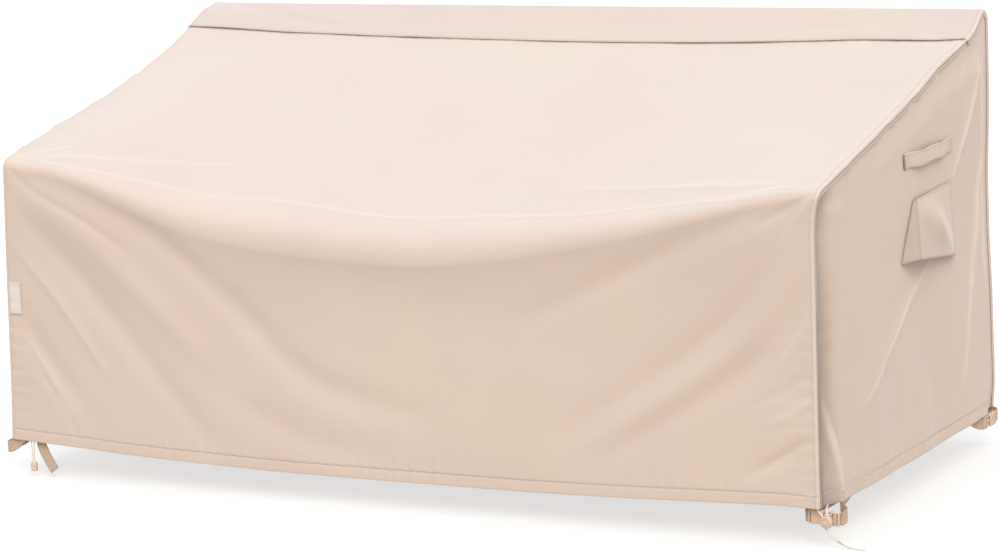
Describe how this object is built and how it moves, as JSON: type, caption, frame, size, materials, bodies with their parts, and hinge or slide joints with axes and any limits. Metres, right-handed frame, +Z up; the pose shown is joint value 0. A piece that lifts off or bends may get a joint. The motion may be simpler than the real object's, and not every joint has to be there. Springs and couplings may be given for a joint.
{
  "type": "outdoor sofa cover",
  "caption": "Fitted fabric cover for an outdoor sofa, sloping from a high back to low arms, with side handles, vent hoods, leg straps with buckles and a drawstring hem.",
  "frame": {"origin": "mount sofa_top: under the middle of the top ridge, on the inner face of the cloth, where the top of the sofa's back holds the cover up", "axes": "+Z up, +X along the cover's length to the right of someone facing its front, -Y out of the front"},
  "size_m": [2.1378, 0.9742, 0.9809],
  "materials": {
    "cover_fabric": "tightly woven coated polyester, pale beige, soft sheen",
    "webbing": "ribbed tan webbing",
    "cord": "round cream braid",
    "buckle_plastic": "satin tan moulding",
    "label_patch": "smooth pale patch with nothing on it"
  },
  "bodies": {
    "root": {"main_panel": "cover_fabric", "back_panel": "cover_fabric", "side_panel_left": "cover_fabric", "side_panel_right": "cover_fabric", "handle_left": "cover_fabric", "handle_right": "cover_fabric", "vent_hood_left": "cover_fabric", "vent_hood_right": "cover_fabric", "strap_side_front_right": "webbing", "strap_inner_front_right": "webbing", "strap_loop_front_left": "webbing", "strap_inner_front_left": "webbing", "strap_side_rear_right": "webbing", "strap_hem_rear_right": "webbing", "strap_inner_rear_right": "webbing", "strap_loop_rear_left": "webbing", "strap_inner_rear_left": "webbing", "strap_tail_front_left": "webbing", "buckle_socket_front_right": "buckle_plastic", "buckle_plug_front_right": "buckle_plastic", "buckle_socket_rear_right": "buckle_plastic", "buckle_plug_rear_right": "buckle_plastic", "cord_lock": "buckle_plastic", "toggle": "buckle_plastic", "drawstring_end_a": "cord", "drawstring_end_b": "cord", "toggle_cord_a": "cord", "toggle_cord_b": "cord", "cord_tail_rear": "cord", "label_patch": "label_patch"}
  },
  "joints": []
}
